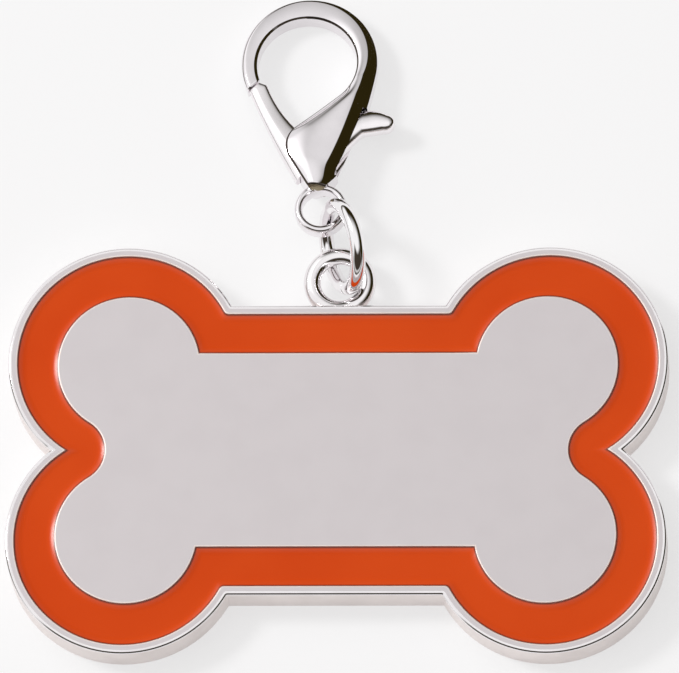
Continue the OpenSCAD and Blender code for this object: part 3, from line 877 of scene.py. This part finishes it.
# The studio. Heights in the world are those of a direction of length 1
WHITE = (1.0, 1.0, 1.0)
FLAG_TOWARDS, FLAG_COLOUR = 40.0, (0.024, 0.018, 0.004)
FLAG_SIDE, FLAG_FAR = (0.1, 0.4), (0.2, 0.9)
FLAG_LOW, FLAG_LOWER, FLAG_HIGH, FLAG_HIGHER = 0.58, 0.11, 0.96, 0.06
STRIP_COLOUR, STRIP_SIDE = (0.05, 0.04, 0.03), (0.4, 0.65)
STRIP_FROM, STRIP_TO = (0.16, 0.28), (0.74, 0.88)
HORIZON_COLOUR, HORIZON_TO, GROUND_TO = (0.06, 0.05, 0.03), (0.06, 0.24), (0.03, 0.05)
BOX_TOWARDS, BOX_EDGE, BOX_BOOST = [-0.47, 0.39, 0.79], (0.93, 0.985), 0.35
KEY_SIZE, KEY_POWER = 0.2, 2.7
KEY_PLACE, KEY_AIM = np.array([-0.55, 0.23, 0.6]), np.array([0.0, 0.01, 0.0])
FLOOR_SPAN = 3000.0


def dark_flag(nodes, east, north, z):
    """The flag's mask, on the right and the far side; its soft upper edge is wider far off."""
    angle = math.radians(FLAG_TOWARDS)
    facing = nodes.plus(nodes.times(east, math.cos(angle)), nodes.times(north, math.sin(angle)))
    beside = nodes.smooth(facing, *FLAG_SIDE)
    far = nodes.smooth(north, *FLAG_FAR)
    low_edge = nodes.math("SUBTRACT", FLAG_LOW, nodes.times(far, FLAG_LOWER))
    high_edge = nodes.plus(FLAG_HIGH, nodes.times(far, FLAG_HIGHER))
    return nodes.times(beside, nodes.opposite(nodes.smooth(z, low_edge, high_edge)))


def front_strip(nodes, north, z):
    """The mask of the dark strip in front, half way up."""
    front = nodes.smooth(nodes.times(north, -1.0), *STRIP_SIDE)
    above, below = nodes.smooth(z, *STRIP_FROM), nodes.opposite(nodes.smooth(z, *STRIP_TO))
    return nodes.times(front, nodes.times(above, below))


def soft_box(nodes, x, y, z):
    """The world's strength, a little higher in the soft box on the left."""
    box = unit(BOX_TOWARDS)
    toward = nodes.times(x, box[0])
    toward = nodes.math("MULTIPLY_ADD", y, box[1], toward)
    toward = nodes.math("MULTIPLY_ADD", z, box[2], toward)
    return nodes.math("MULTIPLY_ADD", nodes.smooth(toward, *BOX_EDGE), BOX_BOOST, 1.0)


def studio_world():
    """A white studio whose dark flag, strip and horizon, and soft box, show in the metal."""
    world = bpy.data.worlds.new("studio")
    bpy.context.scene.world = world
    world.use_nodes = True
    nodes = Nodes(world.node_tree)
    split = nodes.add("SeparateXYZ", {0: nodes.add("TexCoord").outputs["Generated"]})
    x, y, z = split.outputs
    flat = nodes.math("SQRT", nodes.plus(nodes.times(x, x), nodes.times(y, y)))
    flat = nodes.math("MAXIMUM", flat, 0.001)
    east, north = nodes.math("DIVIDE", x, flat), nodes.math("DIVIDE", y, flat)
    horizon = nodes.opposite(nodes.smooth(z, *HORIZON_TO))
    colour = nodes.mix(horizon, WHITE, HORIZON_COLOUR)
    colour = nodes.mix(front_strip(nodes, north, z), colour, STRIP_COLOUR)
    colour = nodes.mix(dark_flag(nodes, east, north, z), colour, FLAG_COLOUR)
    # White again at the very bottom, where the floor ends
    colour = nodes.mix(nodes.opposite(nodes.smooth(z, *GROUND_TO)), colour, WHITE)
    sky = nodes.add("Background", {"Color": colour, "Strength": soft_box(nodes, x, y, z)})
    nodes.add("OutputWorld", {"Surface": sky.outputs[0]})


def floor_and_key():
    s = FLOOR_SPAN
    floor = raw("floor", [(-s, -s, 0), (s, -s, 0), (s, s, 0), (-s, s, 0)], [(0, 1, 2, 3)])
    dress(floor, floor_material())
    lamp = bpy.data.lights.new("key", "AREA")
    lamp.shape, lamp.size, lamp.energy = "DISK", KEY_SIZE, KEY_POWER
    key = bpy.data.objects.new("key", lamp)
    bpy.context.collection.objects.link(key)
    key.location = KEY_PLACE
    key.rotation_euler = Vector(KEY_AIM - KEY_PLACE).to_track_quat("-Z", "Y").to_euler()


# The camera: the way from the target to it, the target and distance in millimetres, the
# photograph's scale and width in pixels, the sensor's width and how much of the roll is kept
CAMERA_TOWARDS, CAMERA_TARGET = [0.06, -0.3066, 1.0], np.array([0.105, 8.92, 3.2])
CAMERA_DISTANCE, PIXELS_PER_MM, PHOTO_WIDTH = 1200.0, 13.208, 679.0
SENSOR, ROLL_SHARE = 36.0, 0.86


def camera_axes():
    """The camera's right, up and back directions."""
    back = unit(CAMERA_TOWARDS)
    right = unit([back[2], 0, -back[0]])
    up = np.cross(back, right)
    roll = ROLL_SHARE * math.atan2(up[0], right[0])
    c, s = math.cos(roll), math.sin(roll)
    return c * right + s * up, -s * right + c * up, back


def camera():
    """The photograph's view: nearly straight down, a little from the front and the right."""
    right, up, back = camera_axes()
    data = bpy.data.cameras.new("camera")
    data.sensor_fit, data.sensor_width = "HORIZONTAL", SENSOR
    data.lens = PIXELS_PER_MM * SENSOR * CAMERA_DISTANCE / PHOTO_WIDTH
    data.clip_start, data.clip_end = 0.1, 20.0
    obj = bpy.data.objects.new("camera", data)
    bpy.context.collection.objects.link(obj)
    spot = (CAMERA_TARGET + CAMERA_DISTANCE * back) * MM
    rows = np.column_stack([right, up, back, spot])
    obj.matrix_world = Matrix([*rows.tolist(), [0, 0, 0, 1]])
    bpy.context.scene.camera = obj


# The object
def build():
    """Builds and dresses every piece; the pin and the spring keep their CAD shapes."""
    metals = {name: metal(name, *values) for name, values in METALS.items()}
    tag_metals = [
        metals[name] for name in ("satin_nickel", "cast_side", "soft_edge", "polished_nickel")
    ]
    tag = tag_body(tag_metals)
    fill_in = enamel()
    ring = jump_ring()
    clasp = clasp_body()
    gate = clasp_gate()
    dress(fill_in, enamel_material())
    dress(ring, metals["ring_nickel"])
    dress(gate, metals["lever_nickel_painted_light"])
    # Each slot is filled in place, so that the faces keep their material numbers
    for i, name in enumerate(("bright_nickel", "painted_shade_line", "painted_shade_end")):
        clasp.data.materials[i] = metals[name]
    pieces = [
        (tag, "tag", "tag_body", "tag_plating"),
        (fill_in, "tag", "enamel_fill", "enamel"),
        (ring, "ring", "jump_ring", "ring_plating"),
        (clasp, "clasp", "clasp_body", "clasp_plating"),
        (gate, "gate", "clasp_gate", "clasp_plating"),
    ]
    for piece, body, node, slot in pieces:
        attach(piece, body)
        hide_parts(node)
    for node in ("pivot_pin", "gate_spring"):
        dress(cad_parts[node], metals["spring_steel"])


build()
studio_world()
floor_and_key()
camera()
scene = bpy.context.scene
scene.view_settings.view_transform = "Standard"
